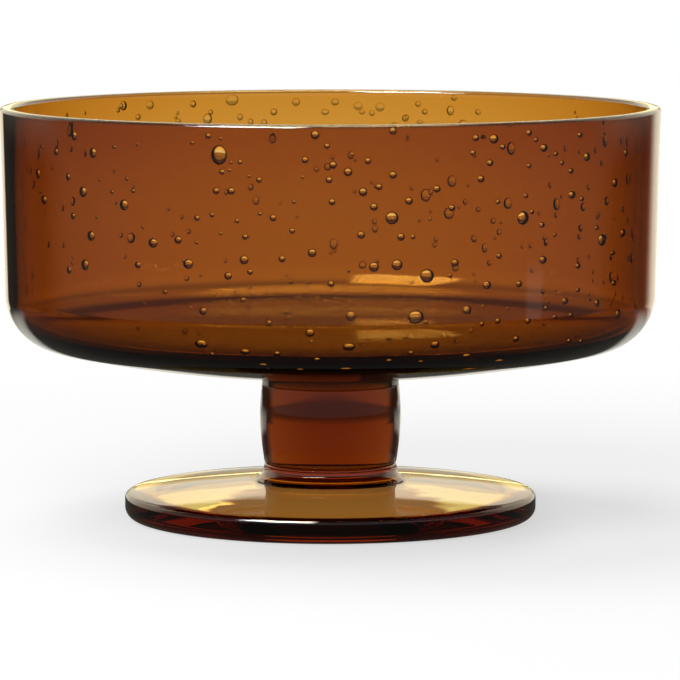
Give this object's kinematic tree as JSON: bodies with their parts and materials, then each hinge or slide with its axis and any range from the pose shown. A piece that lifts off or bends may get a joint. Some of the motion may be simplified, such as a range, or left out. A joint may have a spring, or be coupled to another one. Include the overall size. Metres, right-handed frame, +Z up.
{
  "type": "dessert cup",
  "caption": "Footed dessert cup in thick amber seeded glass: a straight-sided round bowl on a short barrel stem and a round foot, fused together hot.",
  "frame": {"origin": "centre of the foot's resting ring, on the surface the cup stands on", "axes": "+Z is up along the cup's axis; the cup is round, so X and Y are alike"},
  "size_m": [0.115, 0.115, 0.0721],
  "materials": {
    "bowl_glass": "polished amber glass with seed bubbles",
    "stem_glass": "polished solid amber glass",
    "foot_glass": "polished solid amber glass"
  },
  "bodies": {
    "root": {"bowl": "bowl_glass", "stem": "stem_glass", "foot": "foot_glass"}
  },
  "joints": []
}
